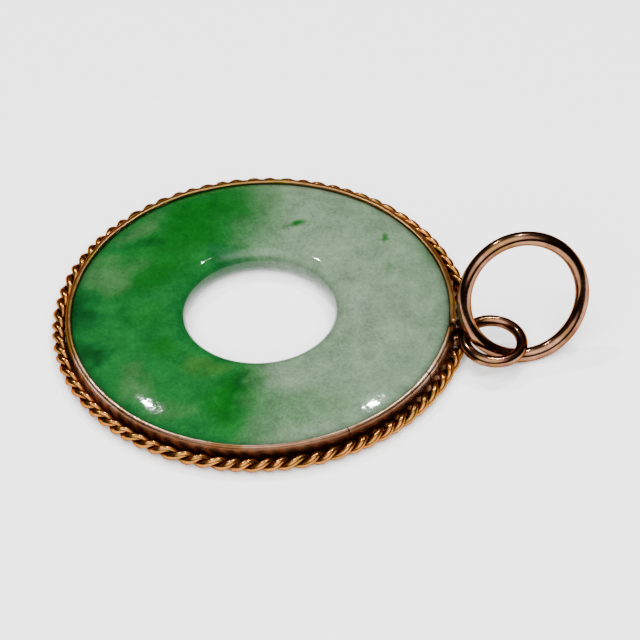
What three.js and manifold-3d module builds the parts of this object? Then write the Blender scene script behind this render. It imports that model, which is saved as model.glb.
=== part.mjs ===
// A jade bi disc, a flat ring of polished green stone, worn as a pendant. A plain gold band turned in
// over the stone's edge holds it, two twisted gold wires run round the foot of the band, and a large
// ring hangs in a small one that is soldered to the band. It lies on its back, and the large ring
// leans in the small one with its lowest point on the ground.
// Millimetres, Z up. Heights are taken from the ground and radii from the stone's axis.

import * as THREE from "three";
import { mergeVertices } from "three/addons/utils/BufferGeometryUtils.js";
import Module from "manifold-3d";

const wasm = await Module();
wasm.setup();

// Stone
const STONE_RADIUS = 17.15;
const STONE_HOLE_RADIUS = 6.7;
const STONE_THICKNESS = 3;
const STONE_CROWN_RADIUS = 10.5;
const STONE_EDGE_HEIGHT = 2.02;
const STONE_HOLE_ROUND = 1.5;
const STONE_BACK_BEVEL_WIDTH = 1.25;
const STONE_BACK_BEVEL_RISE = 0.5;

// Band
const SETTING_CLEARANCE = 0.05;
const BAND_WALL = 0.35;
const BAND_FLARE = 0.12;
const BAND_FOOT_HEIGHT = 0.1;
const BAND_LIP_RISE = 0.44;
const BAND_LIP_OVERLAP = 0.14;
const BAND_LIP_ROUND = 0.15;
const BAND_BACK_LIP_OVERLAP = 0.45;
const BAND_BACK_LIP_THICKNESS = 0.14;
const BAND_SEAM_ANGLE = THREE.MathUtils.degToRad(4.2);
const BAND_SEAM_WIDTH = 0.25;

// Twisted wire edging
const STRAND_COUNT = 2;
const STRAND_RADIUS = 0.34;
const STRAND_CLEARANCE = 0.04;
const ROPE_BAND_CLEARANCE = 0.03;
const ROPE_FOOT_HEIGHT = 0.3;
const ROPE_LAY = 2.99;
const ROPE_JOINT_WIDTH = 1.5;

// Small ring and its solder
const SMALL_RING_RADIUS = 2.56;
const SMALL_RING_WIRE = 1.03;
const SMALL_RING_TILT = THREE.MathUtils.degToRad(5.8);
const SMALL_RING_HEIGHT = 2.19;
const SOLDER_GAP = 0.77;
const SOLDER_CLEARANCE = 0.05;
const SOLDER_BITE = 0.25;
const SOLDER_HEIGHT = 1.1;
const SOLDER_LENGTH = 1.3;

// Large ring
const LARGE_RING_RADIUS = 5.455;
const LARGE_RING_WIRE = 1.28;
const LARGE_RING_LEAN = THREE.MathUtils.degToRad(24.2);
const LARGE_RING_HEADING = THREE.MathUtils.degToRad(27.9);
const LARGE_RING_FLOOR_CLEARANCE = 0.02;
const LARGE_RING_CROSSING_IN = 0.62;
const LARGE_RING_CROSSING_SIDE = 0.69;

// Steps of the faceted surfaces
const STONE_STEPS = 56;
const ROUND_STEPS = 4;
const DOME_STEPS = 5;
const BAND_STEPS = 64;
const STRAND_SIDES = 5;
const STRAND_STEPS_PER_TURN = 7;
const LARGE_RING_STEPS = 40;
const SMALL_RING_STEPS = 24;
const RING_SIDES = 8;
const SOLDER_STEPS = 12;

const TURN = 2 * Math.PI;

// Sizes that follow from the ones above
const bandInnerRadius = STONE_RADIUS + SETTING_CLEARANCE;
const bandTopRadius = bandInnerRadius + BAND_WALL;
const bandFootRadius = bandTopRadius + BAND_FLARE;
const bandLipRadius = STONE_RADIUS - BAND_LIP_OVERLAP;
const bandLipUnderside = STONE_EDGE_HEIGHT + SETTING_CLEARANCE;
const bandTop = bandLipUnderside + BAND_LIP_RISE;
const bandBackLipRadius = STONE_RADIUS - BAND_BACK_LIP_OVERLAP;

const strandOffset = STRAND_RADIUS + STRAND_CLEARANCE / 2;
const ropeRadius = strandOffset + STRAND_RADIUS;
const ropeCentreRadius = bandFootRadius - BAND_FLARE / 2 + ROPE_BAND_CLEARANCE + ropeRadius;
const ropeCentreHeight = ROPE_FOOT_HEIGHT + ropeRadius;

const smallRingWireRadius = SMALL_RING_WIRE / 2;
const smallRingCentre = new THREE.Vector3(
  bandTopRadius + SOLDER_GAP + smallRingWireRadius + SMALL_RING_RADIUS,
  0,
  SMALL_RING_HEIGHT,
);
const largeRingWireRadius = LARGE_RING_WIRE / 2;

// A solid of the library that joins and cuts, from a closed three.js geometry.
function solidFrom(geometry) {
  const bare = geometry.clone();
  bare.deleteAttribute("normal");
  bare.deleteAttribute("uv");
  const merged = mergeVertices(bare);
  return new wasm.Manifold(
    new wasm.Mesh({
      numProp: 3,
      vertProperties: merged.attributes.position.array,
      triVerts: new Uint32Array(merged.index.array),
    }),
  );
}

// A three.js geometry from such a solid.
function geometryFrom(solid) {
  const mesh = solid.getMesh();
  const geometry = new THREE.BufferGeometry();
  geometry.setAttribute("position", new THREE.BufferAttribute(mesh.vertProperties, 3));
  geometry.setIndex(new THREE.BufferAttribute(mesh.triVerts, 1));
  geometry.computeVertexNormals();
  return geometry;
}

// A solid of revolution about Z, from a closed profile of radius and height.
function turned(profile, steps) {
  const geometry = new THREE.LatheGeometry([...profile, profile[0]], steps);
  return geometry.rotateX(Math.PI / 2);
}

function named(name, geometry, material) {
  const mesh = new THREE.Mesh(geometry, material);
  mesh.name = name;
  return mesh;
}

function gold(color, roughness) {
  return new THREE.MeshStandardMaterial({ color, roughness, metalness: 1 });
}

// Points on a quarter of an ellipse about centre, from angle start, both ends included.
function quarter(centre, across, up, start) {
  const points = [];
  for (let step = 0; step <= ROUND_STEPS; step += 1) {
    const angle = start + ((Math.PI / 2) * step) / ROUND_STEPS;
    points.push(
      new THREE.Vector2(
        centre.x + across * Math.cos(angle),
        centre.y + up * Math.sin(angle),
      ),
    );
  }
  return points;
}

// Height of the stone's front, a low dome between the hole's rounding and the edge.
function frontHeight(radius) {
  const fall = STONE_THICKNESS - STONE_EDGE_HEIGHT;
  const share = (radius - STONE_CROWN_RADIUS) / (STONE_RADIUS - STONE_CROWN_RADIUS);
  return STONE_THICKNESS - fall * share * share;
}

// The bi disc: a flat back, a domed front, and a hole with a fully rounded wall.
function stone() {
  const roundRadius = STONE_HOLE_RADIUS + STONE_HOLE_ROUND;
  const waist = new THREE.Vector2(roundRadius, STONE_THICKNESS / 2);
  const upperRise = frontHeight(roundRadius) - waist.y;
  const profile = [
    ...quarter(waist, STONE_HOLE_ROUND, upperRise, Math.PI / 2),
    ...quarter(waist, STONE_HOLE_ROUND, waist.y, Math.PI).slice(1),
    new THREE.Vector2(STONE_RADIUS - STONE_BACK_BEVEL_WIDTH, 0),
    new THREE.Vector2(STONE_RADIUS, STONE_BACK_BEVEL_RISE),
  ];
  for (let step = 0; step < DOME_STEPS; step += 1) {
    const radius = THREE.MathUtils.lerp(STONE_RADIUS, roundRadius, step / DOME_STEPS);
    profile.push(new THREE.Vector2(radius, frontHeight(radius)));
  }
  return turned(profile, STONE_STEPS);
}

// The gold band: a wall that flares towards its foot, a lip turned in over the stone's front, a
// thinner one behind it, and an open seam where the ends of the strip meet.
function band() {
  const footInnerHeight = BAND_FOOT_HEIGHT + BAND_BACK_LIP_THICKNESS;
  const bevelTop = STONE_BACK_BEVEL_RISE - SETTING_CLEARANCE;
  const profile = [
    new THREE.Vector2(bandBackLipRadius, BAND_FOOT_HEIGHT),
    new THREE.Vector2(bandFootRadius, BAND_FOOT_HEIGHT),
    new THREE.Vector2(bandTopRadius, bandTop - BAND_LIP_ROUND),
    new THREE.Vector2(bandTopRadius - BAND_LIP_ROUND, bandTop),
    new THREE.Vector2(bandLipRadius + BAND_LIP_ROUND / 2, bandTop),
    new THREE.Vector2(bandLipRadius, bandTop - BAND_LIP_ROUND / 2),
    new THREE.Vector2(bandLipRadius, bandLipUnderside),
    new THREE.Vector2(bandInnerRadius, bandLipUnderside),
    new THREE.Vector2(bandInnerRadius, bevelTop),
    new THREE.Vector2(bandBackLipRadius, footInnerHeight),
  ];
  const strip = solidFrom(turned(profile, BAND_STEPS));
  const cut = new THREE.BoxGeometry(bandFootRadius, BAND_SEAM_WIDTH, 2 * STONE_THICKNESS);
  cut.translate(bandFootRadius, 0, 0);
  cut.rotateZ(BAND_SEAM_ANGLE);
  return geometryFrom(strip.subtract(solidFrom(cut)));
}

// The line of one wire of the edging: it winds left-handed round a circle that follows the band.
class StrandLine extends THREE.Curve {
  constructor(phase) {
    super();
    this.phase = phase;
    this.halfJoint = ROPE_JOINT_WIDTH / 2 / ropeCentreRadius;
    this.sweep = TURN - 2 * this.halfJoint;
    this.turns = (this.sweep * ropeCentreRadius) / ROPE_LAY;
    this.steps = Math.round(this.turns * STRAND_STEPS_PER_TURN);
    this.arcLengthDivisions = 2 * this.steps;
  }

  getPoint(share, target = new THREE.Vector3()) {
    const around = this.halfJoint + this.sweep * share;
    const twist = this.phase + TURN * this.turns * share;
    const radius = ropeCentreRadius + strandOffset * Math.cos(twist);
    return target.set(
      radius * Math.cos(around),
      radius * Math.sin(around),
      ropeCentreHeight + strandOffset * Math.sin(twist),
    );
  }
}

function strand(index) {
  const line = new StrandLine((TURN * index) / STRAND_COUNT);
  const corners = [];
  for (let side = 0; side < STRAND_SIDES; side += 1) {
    const angle = (TURN * side) / STRAND_SIDES;
    corners.push(
      new THREE.Vector2(STRAND_RADIUS * Math.cos(angle), STRAND_RADIUS * Math.sin(angle)),
    );
  }
  return new THREE.ExtrudeGeometry(new THREE.Shape(corners), {
    extrudePath: line,
    steps: line.steps,
    bevelEnabled: false,
  });
}

// The small ring, closed, with the bead of solder that joins it to the band.
function smallRing() {
  const loop = new THREE.TorusGeometry(
    SMALL_RING_RADIUS,
    smallRingWireRadius,
    RING_SIDES,
    SMALL_RING_STEPS,
  );
  loop.rotateY(SMALL_RING_TILT);
  loop.translate(smallRingCentre.x, smallRingCentre.y, smallRingCentre.z);

  const depth = SOLDER_GAP - SOLDER_CLEARANCE + SOLDER_BITE;
  const bead = new THREE.SphereGeometry(1 / 2, SOLDER_STEPS, SOLDER_STEPS / 2);
  bead.scale(depth, SOLDER_LENGTH, SOLDER_HEIGHT);
  bead.translate(bandTopRadius + SOLDER_CLEARANCE + depth / 2, 0, SMALL_RING_HEIGHT);
  return geometryFrom(solidFrom(loop).add(solidFrom(bead)));
}

// The large ring's frame. Its plane holds a level direction and a climbing one. It passes through
// the small ring's hole, and its lowest point is on the ground, which fixes its centre.
function largeRingFrame() {
  const level = new THREE.Vector3(
    Math.cos(LARGE_RING_HEADING),
    Math.sin(LARGE_RING_HEADING),
    0,
  );
  const climbing = new THREE.Vector3(
    -Math.sin(LARGE_RING_HEADING) * Math.sin(LARGE_RING_LEAN),
    Math.cos(LARGE_RING_HEADING) * Math.sin(LARGE_RING_LEAN),
    Math.cos(LARGE_RING_LEAN),
  );
  const crossing = new THREE.Vector3(-LARGE_RING_CROSSING_IN, -LARGE_RING_CROSSING_SIDE, 0);
  crossing.applyAxisAngle(new THREE.Vector3(0, 1, 0), SMALL_RING_TILT);
  crossing.add(smallRingCentre);

  const lowest = largeRingWireRadius + LARGE_RING_FLOOR_CLEARANCE;
  const climb = (crossing.z - lowest) / (LARGE_RING_RADIUS * Math.cos(LARGE_RING_LEAN));
  const angle = Math.acos(1 - climb);
  const centre = crossing
    .clone()
    .addScaledVector(level, LARGE_RING_RADIUS * Math.sin(angle))
    .addScaledVector(climbing, LARGE_RING_RADIUS * Math.cos(angle));
  const through = level.clone().cross(climbing);
  return new THREE.Matrix4().makeBasis(level, climbing, through).setPosition(centre);
}

function largeRing() {
  const loop = new THREE.TorusGeometry(
    LARGE_RING_RADIUS,
    largeRingWireRadius,
    RING_SIDES,
    LARGE_RING_STEPS,
  );
  return loop.applyMatrix4(largeRingFrame());
}

const jade = new THREE.MeshStandardMaterial({
  color: 0x6f9b78,
  roughness: 0.15,
  metalness: 0,
});
const bandGold = gold(0xb9824a, 0.25);
const ropeGold = gold(0xc98a3a, 0.3);
const ringGold = gold(0xc08a62, 0.15);

const pendant = new THREE.Group();
pendant.add(named("jade_disc", stone(), jade));
pendant.add(named("gold_band", band(), bandGold));
for (let index = 0; index < STRAND_COUNT; index += 1) {
  pendant.add(named(`rope_wire_${index + 1}`, strand(index), ropeGold));
}
pendant.add(named("small_ring", smallRing(), ringGold));
pendant.add(named("large_ring", largeRing(), ringGold));

// The frame's origin is on the ground, under the middle of the whole pendant.
const extent = new THREE.Box3().setFromObject(pendant, true);
const middle = extent.getCenter(new THREE.Vector3());
pendant.position.set(-middle.x, -middle.y, -extent.min.z);

const group = new THREE.Group();
group.add(pendant);
export default group;
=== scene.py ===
import math

import bpy
import numpy as np
from mathutils import Matrix, Vector


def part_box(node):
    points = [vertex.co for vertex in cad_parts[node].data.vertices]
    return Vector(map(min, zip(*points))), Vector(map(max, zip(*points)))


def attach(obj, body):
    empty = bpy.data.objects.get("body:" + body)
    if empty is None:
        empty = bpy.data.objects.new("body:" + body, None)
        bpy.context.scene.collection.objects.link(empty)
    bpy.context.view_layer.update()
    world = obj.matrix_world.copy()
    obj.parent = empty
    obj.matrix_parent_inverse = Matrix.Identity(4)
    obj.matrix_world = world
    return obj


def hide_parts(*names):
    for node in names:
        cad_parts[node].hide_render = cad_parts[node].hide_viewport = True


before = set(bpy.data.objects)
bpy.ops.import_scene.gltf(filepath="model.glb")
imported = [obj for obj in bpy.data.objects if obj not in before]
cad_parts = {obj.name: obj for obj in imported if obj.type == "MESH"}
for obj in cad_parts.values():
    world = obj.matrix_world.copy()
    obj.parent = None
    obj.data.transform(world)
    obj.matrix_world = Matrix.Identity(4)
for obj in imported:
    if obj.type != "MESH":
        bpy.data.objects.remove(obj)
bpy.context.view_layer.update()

MM = 0.001
TURN = 2 * math.pi

# The view of the photo, about the disc's axis
VIEW_AZIMUTH = math.radians(14.5)
VIEW_ELEVATION = math.radians(44.0)
VIEW_ROLL = math.radians(-2.42)
VIEW_DISTANCE = 340 * MM
VIEW_LENS = 211.1
VIEW_SENSOR = 36
VIEW_CLIP_START = 10 * MM
VIEW_TARGET_ACROSS = 5.05 * MM
VIEW_TARGET_ALONG = 1.88 * MM

# The stone. The frame's box gives its axis and its radius.
stone_low, stone_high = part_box("jade_disc")
AXIS = (stone_low.x + stone_high.x) / 2
STONE_RADIUS = (stone_high.x - stone_low.x) / 2
STONE_THICKNESS = 3.0 * MM
STONE_CROWN_RADIUS = 10.5 * MM
STONE_EDGE_HEIGHT = 2.02 * MM
STONE_EDGE_BEVEL_WIDTH = 0.03 * MM
STONE_EDGE_BEVEL_DROP = 0.1 * MM
STONE_HOLE_RADIUS = 6.7 * MM
STONE_HOLE_ROUND = 1.5 * MM
STONE_BACK_BEVEL_WIDTH = 1.25 * MM
STONE_BACK_BEVEL_RISE = 0.5 * MM
STONE_BACK_CORNER = 0.05 * MM
STONE_STEPS = 256
STONE_FRONT_STEPS = 28
STONE_BACK_STEPS = 14

# Waves that make hand-made shapes uneven: how many to a turn, their phase and their height
BAND_WAVES = ((5, 0.7, 1.0), (11, 2.0, 0.7), (23, 1.1, 0.5))
ROPE_WAVES = ((17, 0.4, 0.009 * MM), (41, 0.0, 0.006 * MM))
ROPE_LEAN_WAVES = ((9, 0.0, 0.25), (31, 1.3, 0.2))
RING_WAVES = ((3, 1.0, 0.012), (7, 0.0, 0.008))

# The band
band_low, band_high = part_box("gold_band")
BAND_CLEARANCE = 0.05 * MM
BAND_WALL = 0.35 * MM
BAND_TOP = band_high.z - 0.1 * MM
BAND_FOOT = band_low.z
BAND_FOOT_RADIUS = (band_high.y - band_low.y) / 2
BAND_FOOT_CHAMFER = 0.05 * MM
BAND_TOP_RADIUS = STONE_RADIUS + BAND_CLEARANCE + BAND_WALL
BAND_LIP_RADIUS = STONE_RADIUS - 0.02 * MM
BAND_LIP_UNDERSIDE = STONE_EDGE_HEIGHT + BAND_CLEARANCE
BAND_LIP_CHAMFER = 0.02 * MM
BAND_BACK_LIP_RADIUS = STONE_RADIUS - 0.45 * MM
BAND_BACK_LIP_THICKNESS = 0.14 * MM
BAND_ROUND = 0.3 * MM
BAND_ROUND_STEPS = 6
BAND_LIP_ROUND = 0.12 * MM
BAND_LIP_ROUND_STEPS = 4
BAND_WALL_STEPS = 7
BAND_STEPS = 360
BAND_WAVER_UP = 0.025 * MM
BAND_WAVER_OUT = 0.0125 * MM

# The band's seam, the bend of its far end there, and the lip's wider reach on the far side
BAND_SEAM_ANGLE = math.radians(4.2)
BAND_SEAM_WIDTH = 0.6 * MM
BAND_BEND_SPREAD = math.radians(2.2)
BAND_BEND_OUT = 0.22 * MM
BAND_BEND_UP = 0.06 * MM
BAND_FLARE_SPREAD = math.radians(16)
BAND_FLARE = 0.2 * MM
BAND_FAR_REACH = 0.2 * MM

# The twisted wires
rope_low, rope_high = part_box("rope_wire_1")
ROPE_FOOT = 0.3 * MM
ROPE_WIDTH = rope_high.z - rope_low.z
ROPE_PRESS = 0.05 * MM
ROPE_CENTRE_RADIUS = (rope_high.y - rope_low.y - ROPE_WIDTH) / 2 - ROPE_PRESS
ROPE_CENTRE_HEIGHT = ROPE_FOOT + ROPE_WIDTH / 2 - ROPE_PRESS
ROPE_LAY = 2.99 * MM
ROPE_JOINT = 0.5 * MM
ROPE_GAP_ANGLE = math.radians(26)
ROPE_GAP_SPREAD = math.radians(5)
ROPE_GAP_DEPTH = 0.12 * MM
STRAND_RADIUS = 0.335 * MM
STRAND_OFFSET = 0.285 * MM
STRAND_COUNT = 2
STRAND_SIDES = 14
STRAND_STEPS_PER_TURN = 22
STRAND_END_SHARE = 0.45
STRAND_END_STEPS = 3

# The rings
_, small_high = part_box("small_ring")
SMALL_RING_RADIUS = 2.56 * MM
SMALL_RING_WIRE_RADIUS = 0.515 * MM
SMALL_RING_TILT = math.radians(5.8)
SMALL_RING_HEIGHT = 2.19 * MM
RING_STEPS = 192
RING_SIDES = 40
SAME_POINT_DIGITS = 7

# The bead of solder, and how it melts into the small ring
SOLDER_GAP = 0.77 * MM
SOLDER_REACH = BAND_TOP_RADIUS + SOLDER_GAP / 2
BEAD_DEPTH = SOLDER_GAP + 0.25 * MM
BEAD_START = BAND_TOP_RADIUS + 0.03 * MM
BEAD_HALF_WIDTH = 1.15 * MM
BEAD_HALF_HEIGHT = 0.42 * MM
BEAD_DROP = 0.05 * MM
BEAD_ROWS = 24
BEAD_COLUMNS = 32
BEAD_POLE = 0.05
SKIN_VOXEL = 0.06 * MM
MELT_FACTOR = 0.5
MELT_STEPS = 6


# Mesh helpers


def new_object(name, mesh, material=None):
    piece = bpy.data.objects.new(name, mesh)
    bpy.context.scene.collection.objects.link(piece)
    if material is not None:
        mesh.materials.append(material)
    return piece


def mesh_from_grid(name, points, closed_rows, closed_columns, cap_ends=False):
    """A smooth mesh over a grid of points, rows by columns, closed along either side as asked."""
    rows, columns = points.shape[:2]
    faces = []
    for row in range(rows if closed_rows else rows - 1):
        for column in range(columns if closed_columns else columns - 1):
            after = (row + 1) % rows
            beside = (column + 1) % columns
            faces.append((
                row * columns + column,
                after * columns + column,
                after * columns + beside,
                row * columns + beside,
            ))
    if cap_ends:
        faces.append(tuple(range(columns)))
        faces.append(tuple(reversed(range((rows - 1) * columns, rows * columns))))
    mesh = bpy.data.meshes.new(name)
    mesh.from_pydata(points.reshape(-1, 3).tolist(), [], faces)
    mesh.shade_smooth()
    mesh.update()
    return mesh


def add_point_values(mesh, name, values):
    attribute = mesh.attributes.new(name, "FLOAT", "POINT")
    attribute.data.foreach_set("value", np.asarray(values, np.float32).ravel())


def finish_piece(piece, slot, *nodes):
    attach(piece, "root")
    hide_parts(*nodes)


def quarter(centre, across, up, start, steps=12):
    """Points on a quarter of an ellipse, both ends included."""
    angles = start + np.linspace(0, math.pi / 2, steps + 1)
    return [(centre[0] + across * math.cos(a), centre[1] + up * math.sin(a)) for a in angles]


def turned_points(profile, angles):
    """A grid of points, one row for each angle about the disc's axis."""
    profile = np.array(profile)
    grid = np.zeros((len(angles), len(profile), 3))
    grid[:, :, 0] = AXIS + np.cos(angles)[:, None] * profile[None, :, 0]
    grid[:, :, 1] = np.sin(angles)[:, None] * profile[None, :, 0]
    grid[:, :, 2] = profile[None, :, 1]
    return grid


def bell(offsets, spread):
    """One at no offset, falling off smoothly to both sides."""
    return np.exp(-((offsets / spread) ** 2))


def waves(angles, parts):
    """The sum of a few sine waves about the turn."""
    return sum(height * np.sin(count * angles + phase) for count, phase, height in parts)


def closed_turn(steps):
    return np.linspace(0, TURN, steps, endpoint=False)


# Node helpers. A noise is given by its scale in waves to the millimetre, its detail, its
# roughness and its distortion, a ramp by two inputs and the results that they give.


def new_material(name):
    material = bpy.data.materials.new(name)
    material.use_nodes = True
    tree = material.node_tree
    return material, tree, tree.nodes["Principled BSDF"]


def node(tree, kind, inputs, **settings):
    made = tree.nodes.new(kind)
    for key, value in settings.items():
        setattr(made, key, value)
    for key, value in inputs.items():
        socket = made.inputs[key]
        if isinstance(value, bpy.types.NodeSocket):
            tree.links.new(value, socket)
        else:
            socket.default_value = value
    return made


def number_math(tree, operation, first, second=0.0):
    made = node(tree, "ShaderNodeMath", {0: first, 1: second}, operation=operation)
    return made.outputs["Value"]


def vector_math(tree, operation, first, second=(0.0, 0.0, 0.0)):
    made = node(tree, "ShaderNodeVectorMath", {0: first, 1: second}, operation=operation)
    gives_number = operation in ("LENGTH", "DISTANCE", "DOT_PRODUCT")
    return made.outputs["Value" if gives_number else "Vector"]


def axis_parts(tree, vector):
    return node(tree, "ShaderNodeSeparateXYZ", {0: vector}).outputs


def flat(tree, vector):
    """The vector laid down on the ground."""
    return vector_math(tree, "MULTIPLY", vector, (1.0, 1.0, 0.0))


def seen_from(tree, vector, place=(0.0, 0.0, 0.0), turn=0.0, units=(1.0, 1.0, 1.0)):
    """The vector as seen from a place, with a turn about the vertical and its own units."""
    inputs = {"Vector": vector, "Location": place, "Rotation": (0.0, 0.0, turn), "Scale": units}
    made = node(tree, "ShaderNodeMapping", inputs, vector_type="TEXTURE")
    return made.outputs["Vector"]


def mix_colors(tree, factor, first, second, blend="MIX"):
    factor_socket, first_socket, second_socket, result_socket = 0, 6, 7, 2
    inputs = {factor_socket: factor, first_socket: first, second_socket: second}
    mixed = node(tree, "ShaderNodeMix", inputs, data_type="RGBA", blend_type=blend)
    return mixed.outputs[result_socket]


def to_grey(tree, value):
    return node(tree, "ShaderNodeCombineColor", {0: value, 1: value, 2: value}).outputs["Color"]


def shaded(tree, color, light):
    """The colour, darkened or lightened by a number."""
    return mix_colors(tree, 1.0, color, to_grey(tree, light), "MULTIPLY")


def ramp_value(tree, value, low, high, out_low=0.0, out_high=1.0, smooth=True):
    made = node(
        tree,
        "ShaderNodeMapRange",
        {"Value": value, "From Min": low, "From Max": high, "To Min": out_low, "To Max": out_high},
        interpolation_type="SMOOTHSTEP" if smooth else "LINEAR",
    )
    return made.outputs["Result"]


def noise(tree, vector, scale, detail, roughness=0.5, distortion=0.0):
    inputs = {
        "Vector": vector,
        "Scale": scale,
        "Detail": detail,
        "Roughness": roughness,
        "Distortion": distortion,
    }
    return node(tree, "ShaderNodeTexNoise", inputs).outputs


def add_bump(tree, shader, height, strength, distance):
    inputs = {"Height": height, "Strength": strength, "Distance": distance}
    bump = node(tree, "ShaderNodeBump", inputs)
    tree.links.new(bump.outputs["Normal"], shader.inputs["Normal"])


def view_coordinates(tree):
    """Millimetres from the disc's axis: to the right and away, as the photo looks at it, and up."""
    place = node(tree, "ShaderNodeTexCoord", {}).outputs["Object"]
    return seen_from(tree, place, (AXIS, 0.0, 0.0), VIEW_AZIMUTH, (MM, MM, MM))


def from_axis(tree, place):
    """Millimetres from the disc's axis, whatever the height."""
    return vector_math(tree, "LENGTH", flat(tree, place))


# The curve of screen colours
SCREEN_WHITE = 255
SCREEN_KNEE = 0.04045
SCREEN_SLOPE = 12.92
SCREEN_OFFSET = 0.055
SCREEN_POWER = 2.4


def linear(red, green, blue):
    """A colour given as 0 to 255 screen values."""
    parts = []
    for value in (red, green, blue):
        share = value / SCREEN_WHITE
        if share <= SCREEN_KNEE:
            parts.append(share / SCREEN_SLOPE)
        else:
            parts.append(((share + SCREEN_OFFSET) / (1 + SCREEN_OFFSET)) ** SCREEN_POWER)
    return (*parts, 1.0)


# Jade

PALE = linear(97, 118, 94)
MID_GREEN = linear(22, 84, 34)
VIVID = linear(7, 76, 16)
DEEP = linear(6, 44, 14)
GREY_GREEN = linear(52, 92, 52)
YELLOW_GREEN = linear(62, 98, 34)
TEAL = linear(34, 82, 52)
WHITISH = linear(108, 118, 104)

# Large patches of colour: where they lie, to the right and away from the axis in millimetres,
# their half sizes, their turn in degrees, their colour, strength and soft share
PATCHES = (
    (-6.4, 10.0, 9.0, 5.0, 44, VIVID, 0.95, 0.9),
    (-4.2, 13.8, 5.8, 4.0, 6, VIVID, 0.85, 0.95),
    (-9.4, 4.4, 5.2, 3.4, 30, VIVID, 0.85, 0.9),
    (-2.6, 7.6, 3.2, 1.6, 160, TEAL, 0.6, 0.9),
    (1.0, 13.0, 3.0, 4.5, 0, GREY_GREEN, 0.5, 0.95),
    (-13.6, 5.0, 3.6, 3.1, 20, GREY_GREEN, 0.95, 0.9),
    (-10.8, 10.9, 4.2, 1.7, 42, GREY_GREEN, 0.75, 0.9),
    (-10.4, 8.4, 1.9, 1.1, 20, DEEP, 0.6, 0.95),
    (-16.0, 0.6, 1.6, 4.2, 4, DEEP, 0.75, 0.9),
    (-15.0, -4.6, 1.9, 2.0, 30, DEEP, 0.8, 0.95),
    (-10.2, -1.4, 3.4, 2.6, 0, VIVID, 0.4, 0.95),
    (-8.6, -6.0, 3.8, 1.7, 150, VIVID, 0.8, 0.9),
    (-11.8, -9.0, 3.2, 2.0, 140, GREY_GREEN, 0.8, 0.9),
    (-4.6, -7.5, 2.2, 1.4, 10, YELLOW_GREEN, 0.3, 0.95),
    (-3.2, -12.0, 3.4, 5.4, 170, VIVID, 1.0, 0.95),
    (-2.3, -10.4, 1.3, 1.9, 0, DEEP, 0.6, 0.9),
    (-7.6, -13.2, 3.2, 2.0, 0, GREY_GREEN, 0.35, 0.9),
    (3.2, -13.2, 6.6, 3.6, 8, MID_GREEN, 0.4, 0.95),
    (1.9, -9.6, 2.6, 2.2, 0, WHITISH, 0.5, 0.95),
    (15.6, 6.5, 1.8, 5.0, 25, GREY_GREEN, 0.5, 0.95),
    (9.0, -1.0, 5.0, 7.0, 20, WHITISH, 0.4, 0.95),
)

# Small flecks, which the strong warp of the large patches would tear
FLECKS = (
    (3.7, 10.4, 1.3, 0.6, 18, VIVID, 0.95, 0.85),
    (2.6, 10.0, 0.7, 0.5, 30, VIVID, 0.5, 0.95),
    (11.6, 8.3, 0.45, 1.1, -6, VIVID, 0.85, 0.9),
    (11.4, 8.0, 0.9, 0.35, 8, VIVID, 0.45, 0.95),
    (11.9, 4.1, 1.2, 0.9, 10, VIVID, 0.35, 0.95),
)

# Warps: their scale in waves to the millimetre and their reach in millimetres
STRONG_WARP = (0.22, 6.5)
MIDDLE_WARP = (0.45, 4.0)
FLECK_WARP = (1.3, 0.7)
WARP_DETAIL = 4.0
WARP_ROUGHNESS = 0.55
NOISE_MIDDLE = (0.5, 0.5, 0.5)

# Where the pale side gives way to green, in millimetres to the right of the axis
GREEN_BOUNDARY = (4.2, -3.4)

JADE_CLOUD_NOISE = (0.55, 5.0, 0.6, 0.4)
JADE_CLOUD_LIGHT = (0.3, 0.75, 0.56, 0.92)
JADE_GRAIN_NOISE = (3.6, 1.5, 0.7)
JADE_GRAIN_LIGHT = (0.3, 0.7, 0.83, 1.17)
# Painted shadow: the stone darkens towards its rim, under the band's lip
JADE_RIM_PAINTED_SHADOW = (16.2, 17.1, 1.0, 0.55)
# Painted shade: the stone darkens a little at the hole's edge
JADE_HOLE_PAINTED_SHADE = (6.7, 7.2, 0.8, 1.0)
JADE_POLISH_NOISE = (1.6, 3.0)
JADE_POLISH = (0.3, 0.7, 0.035, 0.065)
JADE_SWELL_NOISE = (0.9, 2.0)
JADE_SWELL_STRENGTH = 0.14
JADE_SWELL_DISTANCE = 0.1 * MM
JADE_SUBSURFACE_WEIGHT = 0.2
JADE_SUBSURFACE_RADIUS = (0.6, 1.0, 0.6)
JADE_SUBSURFACE_SCALE = 1.2 * MM
JADE_IOR = 1.36


def add_patches(tree, vector, color, patches):
    for across, along, half_across, half_along, turn, tint, strength, soft in patches:
        place = (across, along, 0.0)
        half_sizes = (half_across, half_along, 1.0)
        local = seen_from(tree, vector, place, math.radians(turn), half_sizes)
        reach = vector_math(tree, "LENGTH", local)
        share = ramp_value(tree, reach, 1.0, 1.0 - soft, 0.0, strength)
        color = mix_colors(tree, share, color, tint)
    return color


def warp(tree, vector, scale, reach):
    """The vector pushed about by soft noise, and laid flat."""
    push = noise(tree, vector, scale, WARP_DETAIL, WARP_ROUGHNESS)["Color"]
    centred = vector_math(tree, "SUBTRACT", push, NOISE_MIDDLE)
    scaled = vector_math(tree, "MULTIPLY", centred, (reach, reach, reach))
    return flat(tree, vector_math(tree, "ADD", vector, scaled))


def green_share(tree, vectors):
    """How green the stone is: the mean of its boundary under two warps."""
    shares = [ramp_value(tree, axis_parts(tree, v)["X"], *GREEN_BOUNDARY) for v in vectors]
    total = number_math(tree, "ADD", *shares)
    return number_math(tree, "DIVIDE", total, len(shares))


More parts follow.
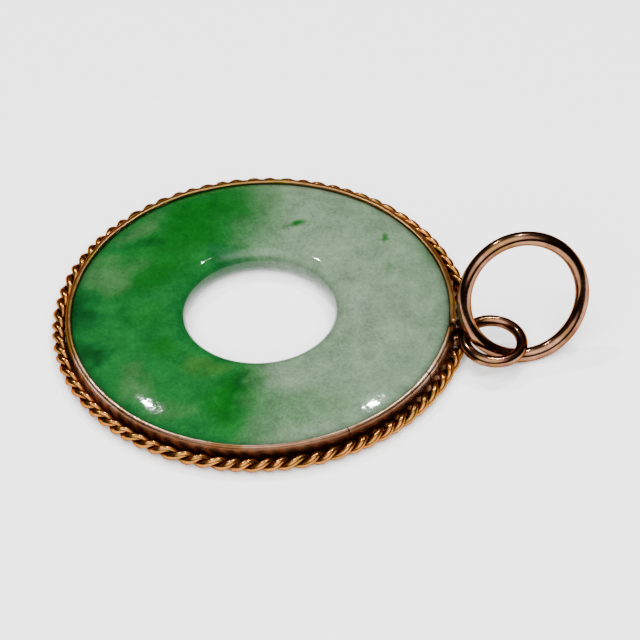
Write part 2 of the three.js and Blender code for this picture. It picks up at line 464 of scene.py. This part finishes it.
def jade_material():
    material, tree, shader = new_material("jade_stone")
    place = view_coordinates(tree)
    warped = warp(tree, place, *STRONG_WARP)
    share = green_share(tree, (warped, warp(tree, place, *MIDDLE_WARP)))
    color = mix_colors(tree, share, PALE, MID_GREEN)
    color = add_patches(tree, warped, color, PATCHES)
    color = add_patches(tree, warp(tree, place, *FLECK_WARP), color, FLECKS)

    cloud = noise(tree, place, *JADE_CLOUD_NOISE)["Fac"]
    grain = noise(tree, place, *JADE_GRAIN_NOISE)["Fac"]
    reach = from_axis(tree, place)
    # The stone's cloudy and grainy tone, then painted shadow at its rim and painted shade at the
    # hole's edge
    for light in (
        ramp_value(tree, cloud, *JADE_CLOUD_LIGHT, smooth=False),
        ramp_value(tree, grain, *JADE_GRAIN_LIGHT, smooth=False),
        ramp_value(tree, reach, *JADE_RIM_PAINTED_SHADOW),
        ramp_value(tree, reach, *JADE_HOLE_PAINTED_SHADE),
    ):
        color = shaded(tree, color, light)
    tree.links.new(color, shader.inputs["Base Color"])

    polish = noise(tree, place, *JADE_POLISH_NOISE)["Fac"]
    tree.links.new(ramp_value(tree, polish, *JADE_POLISH), shader.inputs["Roughness"])
    swell = noise(tree, place, *JADE_SWELL_NOISE)["Fac"]
    add_bump(tree, shader, swell, JADE_SWELL_STRENGTH, JADE_SWELL_DISTANCE)
    shader.inputs["Subsurface Weight"].default_value = JADE_SUBSURFACE_WEIGHT
    shader.inputs["Subsurface Radius"].default_value = JADE_SUBSURFACE_RADIUS
    shader.inputs["Subsurface Scale"].default_value = JADE_SUBSURFACE_SCALE
    shader.inputs["IOR"].default_value = JADE_IOR
    return material


# Gold

# The band's pale tint is a painted highlight, left showing on the near side of its lip; its mid
# brown is its own colour, and its dark tint is painted shade
BAND_PAINTED_HIGHLIGHT = linear(238, 200, 172)
BAND_MID = linear(142, 102, 62)
BAND_PAINTED_SHADE = linear(92, 52, 26)
ROPE_LIGHT = linear(170, 110, 54)
# The rope's dark tint is painted shade in the creases between its strands
ROPE_PAINTED_SHADE = linear(50, 22, 8)
RING_LIGHT = linear(146, 106, 80)
RING_DARK = linear(92, 52, 42)
OLIVE = linear(132, 108, 44)
# A dark brown for the band's thin lines and for the rings near the solder joint
DARK_BROWN_TINT = linear(44, 22, 14)
EDGE_TINT = linear(180, 136, 98)

WEAR_NOISE = (0.9, 4.0, 0.6)
WEAR_LIGHT = (0.35, 0.7, 1.12, 0.78)
FINE_NOISE = (9.0, 4.0, 0.65)
FINE_RANGE = (0.3, 0.7)
FINE_STRENGTH = 0.12
FINE_DISTANCE = 0.03 * MM
OLIVE_NOISE = (0.5, 3.0, 0.6, 0.6)
OLIVE_RANGE = (0.48, 0.64)
OLIVE_ON_BAND = 0.8
OLIVE_ON_ROPE = 0.5
OLIVE_ON_RINGS = 0.3
BAND_ROUGHNESS = (0.26, 0.42)
ROPE_ROUGHNESS = (0.18, 0.32)
RING_ROUGHNESS = (0.08, 0.16)

# The band's pale painted highlight gives way to its own brown away from the viewer, and painted
# shade darkens its outside and its wall towards the viewer
BAND_HIGHLIGHT_TO_BROWN = (-8.0, -4.0, 0.0, 1.0)
BAND_OUTSIDE = (17.2, 17.32)
BAND_OUTSIDE_SHADE = (-5.0, -15.0, 0.1, 0.85)
BAND_BELOW_LIP = (2.38, 2.2)
BAND_BELOW_LIP_SHADE = (-5.0, -15.0, 0.15, 0.95)

# Thin lines across the band, by their angle from the photo's right
BAND_LINES = (math.radians(-64.7), math.radians(-31.8))
BAND_LINE_WIDTH = 0.09
BAND_LINE_STRENGTH = 0.9

ROPE_CREASE_SHADE = (0.3, 0.85)
RING_CLOUD_NOISE = (0.5, 2.0)
RING_CLOUD = (0.35, 0.65, 0.1, 0.8)
# The rings grow darker towards the solder joint
RING_JOINT_DARKENING = (1.9, 0.8, 0.0, 0.85)


def gold_material(name, tint, layers_of, roughness):
    """Worn gold: a tint with layers of other tints over it, painted highlight and painted shade
    among them, and cloudy wear.
    """
    material, tree, shader = new_material(name)
    place = view_coordinates(tree)
    color = tint
    for share, layer_tint in layers_of(tree, place):
        color = mix_colors(tree, share, color, layer_tint)
    wear = noise(tree, place, *WEAR_NOISE)["Fac"]
    color = shaded(tree, color, ramp_value(tree, wear, *WEAR_LIGHT, smooth=False))
    tree.links.new(color, shader.inputs["Base Color"])
    fine = noise(tree, place, *FINE_NOISE)["Fac"]
    fine_roughness = ramp_value(tree, fine, *FINE_RANGE, *roughness)
    tree.links.new(fine_roughness, shader.inputs["Roughness"])
    add_bump(tree, shader, fine, FINE_STRENGTH, FINE_DISTANCE)
    shader.inputs["Metallic"].default_value = 1.0
    shader.inputs["Specular Tint"].default_value = EDGE_TINT
    return material


def olive_share(tree, place, strength):
    cloud = noise(tree, place, *OLIVE_NOISE)["Fac"]
    return ramp_value(tree, cloud, *OLIVE_RANGE, 0.0, strength)


def line_share(tree, place, angle):
    """A thin line that runs outwards from the disc's axis."""
    parts = axis_parts(tree, seen_from(tree, place, turn=angle))
    aside = number_math(tree, "ABSOLUTE", parts["Y"])
    edges = (BAND_LINE_WIDTH, BAND_LINE_WIDTH / 2)
    line = ramp_value(tree, aside, *edges, 0.0, BAND_LINE_STRENGTH)
    return number_math(tree, "MULTIPLY", line, ramp_value(tree, parts["X"], 0.0, 1.0))


def layers_of_band(tree, place):
    parts = axis_parts(tree, place)
    # Painted shade on the band's outside and on its wall below the lip, strongest towards the
    # viewer
    outside_shade = ramp_value(tree, parts["Y"], *BAND_OUTSIDE_SHADE)
    outside = ramp_value(tree, from_axis(tree, place), *BAND_OUTSIDE, 0.0, outside_shade)
    below_shade = ramp_value(tree, parts["Y"], *BAND_BELOW_LIP_SHADE)
    below_lip = ramp_value(tree, parts["Z"], *BAND_BELOW_LIP, 0.0, below_shade)
    return [
        # Painted highlight: the pale tint shows on the lip's near side and gives way to the band's
        # own brown away from the viewer
        (ramp_value(tree, parts["Y"], *BAND_HIGHLIGHT_TO_BROWN), BAND_MID),
        (olive_share(tree, place, OLIVE_ON_BAND), OLIVE),
        (number_math(tree, "MAXIMUM", outside, below_lip), BAND_PAINTED_SHADE),
        *((line_share(tree, place, angle), DARK_BROWN_TINT) for angle in BAND_LINES),
    ]


def layers_of_rope(tree, place):
    # Painted shade in the creases where the two strands meet
    crease_shade = node(tree, "ShaderNodeAttribute", {}, attribute_name="crease_shade").outputs["Fac"]
    return [
        (olive_share(tree, place, OLIVE_ON_ROPE), OLIVE),
        (ramp_value(tree, crease_shade, *ROPE_CREASE_SHADE), ROPE_PAINTED_SHADE),
    ]


def layers_of_rings(tree, place):
    cloud = noise(tree, place, *RING_CLOUD_NOISE)["Fac"]
    joint = (
        SOLDER_REACH * math.cos(VIEW_AZIMUTH) / MM,
        -SOLDER_REACH * math.sin(VIEW_AZIMUTH) / MM,
        SMALL_RING_HEIGHT / MM,
    )
    reach = vector_math(tree, "DISTANCE", place, joint)
    return [
        (ramp_value(tree, cloud, *RING_CLOUD), RING_DARK),
        (olive_share(tree, place, OLIVE_ON_RINGS), OLIVE),
        (ramp_value(tree, reach, *RING_JOINT_DARKENING), DARK_BROWN_TINT),
    ]


# Pieces


def front_height(radius):
    share = (radius - STONE_CROWN_RADIUS) / (STONE_RADIUS - STONE_CROWN_RADIUS)
    return STONE_THICKNESS - (STONE_THICKNESS - STONE_EDGE_HEIGHT) * share * share


def stone_profile():
    """Round from the front edge of the hole, by the hole's wall, the back and the outer edge."""
    round_radius = STONE_HOLE_RADIUS + STONE_HOLE_ROUND
    waist = (round_radius, STONE_THICKNESS / 2)
    upper = front_height(round_radius) - waist[1]
    profile = quarter(waist, STONE_HOLE_ROUND, upper, math.pi / 2)
    profile += quarter(waist, STONE_HOLE_ROUND, waist[1], math.pi)[1:]
    back_edge = STONE_RADIUS - STONE_BACK_BEVEL_WIDTH
    for radius in np.linspace(round_radius, back_edge, STONE_BACK_STEPS)[1:]:
        profile.append((radius, 0.0))
    profile += [
        (STONE_RADIUS - STONE_BACK_CORNER, STONE_BACK_BEVEL_RISE - STONE_BACK_CORNER),
        (STONE_RADIUS, STONE_BACK_BEVEL_RISE + STONE_BACK_CORNER),
        (STONE_RADIUS, STONE_EDGE_HEIGHT - STONE_EDGE_BEVEL_DROP),
    ]
    front_edge = STONE_RADIUS - STONE_EDGE_BEVEL_WIDTH
    for radius in np.linspace(front_edge, round_radius, STONE_FRONT_STEPS)[:-1]:
        profile.append((radius, front_height(radius)))
    return profile


def make_stone():
    grid = turned_points(stone_profile(), closed_turn(STONE_STEPS))
    mesh = mesh_from_grid("bi_disc", grid, True, True)
    piece = new_object("bi_disc", mesh, jade_material())
    finish_piece(piece, "jade", "jade_disc")


def band_profile():
    """Round from the lip on the stone's back, up the outside and over to the lip on its front."""
    inner = BAND_TOP_RADIUS - BAND_WALL
    corner = (BAND_TOP_RADIUS - BAND_ROUND, BAND_TOP - BAND_ROUND)
    lip_corner = (BAND_LIP_RADIUS + BAND_LIP_ROUND, BAND_TOP - BAND_LIP_ROUND)
    profile = [
        (BAND_BACK_LIP_RADIUS, BAND_FOOT),
        (BAND_FOOT_RADIUS - BAND_FOOT_CHAMFER, BAND_FOOT),
        (BAND_FOOT_RADIUS, BAND_FOOT + BAND_FOOT_CHAMFER),
    ]
    for share in np.linspace(0, 1, BAND_WALL_STEPS + 1)[1:-1]:
        profile.append((
            BAND_FOOT_RADIUS + share * (BAND_TOP_RADIUS - BAND_FOOT_RADIUS),
            BAND_FOOT + share * (corner[1] - BAND_FOOT),
        ))
    profile += quarter(corner, BAND_ROUND, BAND_ROUND, 0.0, BAND_ROUND_STEPS)
    profile += quarter(
        lip_corner, BAND_LIP_ROUND, BAND_LIP_ROUND, math.pi / 2, BAND_LIP_ROUND_STEPS
    )
    profile += [
        (BAND_LIP_RADIUS, (BAND_TOP + BAND_LIP_UNDERSIDE) / 2),
        (BAND_LIP_RADIUS, BAND_LIP_UNDERSIDE + BAND_LIP_CHAMFER),
        (BAND_LIP_RADIUS + BAND_LIP_CHAMFER, BAND_LIP_UNDERSIDE),
        (inner, BAND_LIP_UNDERSIDE),
        (inner, STONE_BACK_BEVEL_RISE),
        (BAND_BACK_LIP_RADIUS, BAND_FOOT + BAND_BACK_LIP_THICKNESS),
    ]
    return profile


def make_band():
    """The strip, open at its seam, with its far end bent a little outwards and upwards."""
    half_seam = BAND_SEAM_WIDTH / 2 / BAND_TOP_RADIUS
    first_angle = BAND_SEAM_ANGLE + half_seam
    last_angle = BAND_SEAM_ANGLE + TURN - half_seam
    angles = np.linspace(first_angle, last_angle, BAND_STEPS)
    profile = band_profile()
    radii, heights = np.array(profile).T
    lip_share = np.clip((BAND_TOP_RADIUS - radii) / (BAND_TOP_RADIUS - BAND_LIP_RADIUS), 0, 1)
    lip_share = lip_share * (heights >= BAND_LIP_UNDERSIDE)
    lip_height = BAND_TOP - BAND_LIP_UNDERSIDE
    height_share = np.clip((heights - BAND_LIP_UNDERSIDE) / lip_height, 0, 1)

    from_seam = angles - first_angle
    bend = bell(from_seam, BAND_BEND_SPREAD)
    waver = waves(angles, BAND_WAVES)
    far_side = (1 + np.sin(angles - VIEW_AZIMUTH)) / 2
    flare = BAND_FLARE * bell(from_seam, BAND_FLARE_SPREAD)
    outward = (BAND_BEND_OUT * bend + BAND_WAVER_OUT * waver)[:, None] * height_share
    outward = outward - BAND_FAR_REACH * far_side[:, None] * lip_share
    outward = outward + flare[:, None] * (1 - lip_share) * height_share
    upward = (BAND_BEND_UP * bend + BAND_WAVER_UP * waver)[:, None] * height_share

    grid = turned_points(profile, angles)
    grid[:, :, 0] += np.cos(angles)[:, None] * outward
    grid[:, :, 1] += np.sin(angles)[:, None] * outward
    grid[:, :, 2] += upward
    mesh = mesh_from_grid("band", grid, False, True, cap_ends=True)
    material = gold_material("band_gold", BAND_PAINTED_HIGHLIGHT, layers_of_band, BAND_ROUGHNESS)
    piece = new_object("band", mesh, material)
    finish_piece(piece, "band_gold", "gold_band")


def make_strands():
    """Two wires laid left-handed round each other, standing off the band at one place."""
    half_joint = ROPE_JOINT / 2 / ROPE_CENTRE_RADIUS
    sweep = TURN - 2 * half_joint
    turns = sweep * ROPE_CENTRE_RADIUS / ROPE_LAY
    steps = round(turns * STRAND_STEPS_PER_TURN)
    share = np.linspace(0, 1, steps + 1)
    around = half_joint + sweep * share
    outward = np.stack([np.cos(around), np.sin(around), np.zeros_like(around)], -1)
    upward = np.array([0.0, 0.0, 1.0])
    stand_off = ROPE_GAP_DEPTH * bell(around - ROPE_GAP_ANGLE, ROPE_GAP_SPREAD)
    reach = ROPE_CENTRE_RADIUS + stand_off + waves(around, ROPE_WAVES)
    middle = reach[:, None] * outward + np.array([AXIS, 0.0, ROPE_CENTRE_HEIGHT])
    from_end = np.minimum(share, 1 - share) * steps
    taper = np.minimum(1, STRAND_END_SHARE + from_end / STRAND_END_STEPS)
    radius = (STRAND_RADIUS * taper)[:, None, None]
    section = closed_turn(STRAND_SIDES)
    # Painted shade: each strand is darker on its side towards the rope's middle, where the strands
    # meet
    crease_shade = np.tile((1 - np.cos(section)) / 2, (steps + 1, 1))
    material = gold_material("rope_gold", ROPE_LIGHT, layers_of_rope, ROPE_ROUGHNESS)
    for index in range(STRAND_COUNT):
        twist = TURN * (index / STRAND_COUNT + turns * share) + waves(around, ROPE_LEAN_WAVES)
        away = np.cos(twist)[:, None] * outward + np.sin(twist)[:, None] * upward
        line = middle + STRAND_OFFSET * away
        tangent = np.gradient(line, axis=0)
        tangent /= np.linalg.norm(tangent, axis=1, keepdims=True)
        beside = away - (away * tangent).sum(1, keepdims=True) * tangent
        beside /= np.linalg.norm(beside, axis=1, keepdims=True)
        across = np.cross(tangent, beside)
        grid = line[:, None] + radius * (
            np.cos(section)[None, :, None] * beside[:, None]
            + np.sin(section)[None, :, None] * across[:, None]
        )
        name = f"rope_strand_{index + 1}"
        mesh = mesh_from_grid(name, grid[:, ::-1], False, True, cap_ends=True)
        add_point_values(mesh, "crease_shade", crease_shade[:, ::-1])
        piece = new_object(name, mesh, material)
        finish_piece(piece, "rope_gold", f"rope_wire_{index + 1}")


def ring_points(centre, first, second, radius, wire_radius):
    """A torus about centre in the plane of two directions, a little uneven as hand-bent wire is."""
    angles = closed_turn(RING_STEPS)
    section = closed_turn(RING_SIDES)
    through = np.cross(first, second)
    outward = np.cos(angles)[:, None] * first + np.sin(angles)[:, None] * second
    wire = (wire_radius * (1 + waves(angles, RING_WAVES)))[:, None, None]
    return centre + radius * outward[:, None] + wire * (
        np.cos(section)[None, :, None] * outward[:, None]
        + np.sin(section)[None, :, None] * through
    )


def make_large_ring(material):
    """A ring fitted to the points of the frame's large ring."""
    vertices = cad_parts["large_ring"].data.vertices
    points = np.array([vertex.co for vertex in vertices], float)
    points = np.unique(np.round(points, SAME_POINT_DIGITS), axis=0)
    centre = points.mean(0)
    offsets = points - centre
    _, _, (first, second, through) = np.linalg.svd(offsets)
    aside = offsets @ through
    radius = np.linalg.norm(offsets - aside[:, None] * through, axis=1).mean()
    grid = ring_points(centre, first, second, radius, np.abs(aside).max())
    mesh = mesh_from_grid("hanging_ring", grid, True, True)
    piece = new_object("hanging_ring", mesh, material)
    finish_piece(piece, "ring_gold", "large_ring")


def bead_points():
    """The bead of solder between the band and the small ring, open at its two poles."""
    rows = np.linspace(-math.pi / 2 + BEAD_POLE, math.pi / 2 - BEAD_POLE, BEAD_ROWS)
    columns = closed_turn(BEAD_COLUMNS)
    grid = np.zeros((BEAD_ROWS, BEAD_COLUMNS, 3))
    grid[:, :, 0] = np.cos(rows)[:, None] * np.cos(columns)
    grid[:, :, 1] = np.cos(rows)[:, None] * np.sin(columns)
    grid[:, :, 2] = np.sin(rows)[:, None]
    centre = np.array([AXIS + BEAD_START + BEAD_DEPTH / 2, 0.0, SMALL_RING_HEIGHT - BEAD_DROP])
    half_sizes = np.array([BEAD_DEPTH / 2, BEAD_HALF_WIDTH, BEAD_HALF_HEIGHT])
    return (centre + grid * half_sizes)[:, ::-1]


def join_and_melt(piece, other):
    """Joins two meshes, remeshes them as one skin and smooths the seam between them."""
    bpy.ops.object.select_all(action="DESELECT")
    other.select_set(True)
    piece.select_set(True)
    bpy.context.view_layer.objects.active = piece
    bpy.ops.object.join()
    remesh = piece.modifiers.new("skin", "REMESH")
    remesh.mode = "VOXEL"
    remesh.voxel_size = SKIN_VOXEL
    smooth = piece.modifiers.new("melt", "SMOOTH")
    smooth.factor = MELT_FACTOR
    smooth.iterations = MELT_STEPS
    for modifier in ("skin", "melt"):
        bpy.ops.object.modifier_apply(modifier=modifier)
    piece.data.shade_smooth()


def make_small_ring(material):
    """The soldered ring: its wire and the bead of solder flow into each other."""
    reach = SMALL_RING_RADIUS * math.cos(SMALL_RING_TILT) + SMALL_RING_WIRE_RADIUS
    centre = np.array([small_high.x - reach, 0.0, SMALL_RING_HEIGHT])
    first = np.array([math.cos(SMALL_RING_TILT), 0.0, -math.sin(SMALL_RING_TILT)])
    second = np.array([0.0, 1.0, 0.0])
    grid = ring_points(centre, first, second, SMALL_RING_RADIUS, SMALL_RING_WIRE_RADIUS)
    piece = new_object("soldered_ring", mesh_from_grid("soldered_ring", grid, True, True), material)
    bead = new_object("bead", mesh_from_grid("bead", bead_points(), False, True, cap_ends=True))
    join_and_melt(piece, bead)
    finish_piece(piece, "ring_gold", "small_ring")


# Stage

FLOOR_SIZE = 240 * MM
FLOOR_COLOR = (0.95, 0.95, 0.95, 1.0)
FLOOR_ROUGHNESS = 0.9

# The lights: their names, their directions to the right, away and up, their sizes, their
# powers, and whether polished faces mirror them
LIGHT_DISTANCE = 420 * MM
LIGHTS = (
    ("light_left", (-0.29, 0.42, 0.86), 12 * MM, 0.9, True),
    ("light_right", (0.27, 0.37, 0.89), 12 * MM, 0.9, True),
    ("light_top", (0.0, -0.45, 0.89), 560 * MM, 5.4, False),
)

# The sky: dark low down, with a soft glow above the viewer, and a pale backdrop
SKY = (0.4, 0.95, 0.02, 0.15)
GLOW_HEIGHT = 1.6
GLOW = (0.74, 1.0, 0.0, 4.5)
BACKDROP = (4.0, 4.0, 4.0, 1.0)


def make_floor():
    half = FLOOR_SIZE / 2
    corners = np.array([
        [[AXIS - half, -half, 0.0], [AXIS - half, half, 0.0]],
        [[AXIS + half, -half, 0.0], [AXIS + half, half, 0.0]],
    ])
    material, _, shader = new_material("floor_paper")
    shader.inputs["Base Color"].default_value = FLOOR_COLOR
    shader.inputs["Roughness"].default_value = FLOOR_ROUGHNESS
    floor = new_object("floor", mesh_from_grid("floor", corners, False, False), material)


def view_axes():
    """The photo's right, away and up directions on the ground, in the part's frame."""
    right = Vector((math.cos(VIEW_AZIMUTH), math.sin(VIEW_AZIMUTH), 0.0))
    away = Vector((-math.sin(VIEW_AZIMUTH), math.cos(VIEW_AZIMUTH), 0.0))
    return right, away, Vector((0.0, 0.0, 1.0))


def add_light(name, direction_parts, size, energy, mirrored):
    """A square light that shines at the disc."""
    right, away, above = view_axes()
    across, along, up = direction_parts
    direction = (right * across + away * along + above * up).normalized()
    light = bpy.data.lights.new(name, "AREA")
    light.shape = "SQUARE"
    light.size = size
    light.energy = energy
    lamp = bpy.data.objects.new(name, light)
    lamp.visible_glossy = mirrored
    lamp.location = Vector((AXIS, 0.0, 0.0)) + direction * LIGHT_DISTANCE
    lamp.rotation_euler = direction.to_track_quat("Z", "Y").to_euler()
    bpy.context.scene.collection.objects.link(lamp)


def make_world():
    world = bpy.data.worlds.new("studio")
    bpy.context.scene.world = world
    world.use_nodes = True
    tree = world.node_tree
    background = tree.nodes["Background"]
    direction = node(tree, "ShaderNodeTexCoord", {}).outputs["Generated"]
    sky = ramp_value(tree, axis_parts(tree, direction)["Z"], *SKY)
    _, away, above = view_axes()
    middle = (above * GLOW_HEIGHT - away).normalized()
    glow = ramp_value(tree, vector_math(tree, "DOT_PRODUCT", direction, middle), *GLOW)
    light = to_grey(tree, number_math(tree, "ADD", sky, glow))
    seen = node(tree, "ShaderNodeLightPath", {}).outputs["Is Camera Ray"]
    tree.links.new(mix_colors(tree, seen, light, BACKDROP), background.inputs["Color"])
    background.inputs["Strength"].default_value = 1.0


def make_camera():
    right, away, above = view_axes()
    look = away * math.cos(VIEW_ELEVATION) - above * math.sin(VIEW_ELEVATION)
    up = right.cross(look)
    turned_right = right * math.cos(VIEW_ROLL) + up * math.sin(VIEW_ROLL)
    turned_up = up * math.cos(VIEW_ROLL) - right * math.sin(VIEW_ROLL)
    target = Vector((AXIS + VIEW_TARGET_ACROSS, VIEW_TARGET_ALONG, 0.0))
    camera = bpy.data.cameras.new("camera")
    camera.lens = VIEW_LENS
    camera.sensor_width = VIEW_SENSOR
    camera.clip_start = VIEW_CLIP_START
    holder = bpy.data.objects.new("camera", camera)
    columns = (turned_right, turned_up, -look, target - look * VIEW_DISTANCE)
    rows = [[column[index] for column in columns] for index in range(3)]
    holder.matrix_world = Matrix(rows + [[0.0, 0.0, 0.0, 1.0]])
    bpy.context.scene.collection.objects.link(holder)
    bpy.context.scene.camera = holder


make_camera()
make_stone()
make_band()
make_strands()
ring_gold = gold_material("ring_gold", RING_LIGHT, layers_of_rings, RING_ROUGHNESS)
make_large_ring(ring_gold)
make_small_ring(ring_gold)
make_floor()
make_world()
for light_settings in LIGHTS:
    add_light(*light_settings)
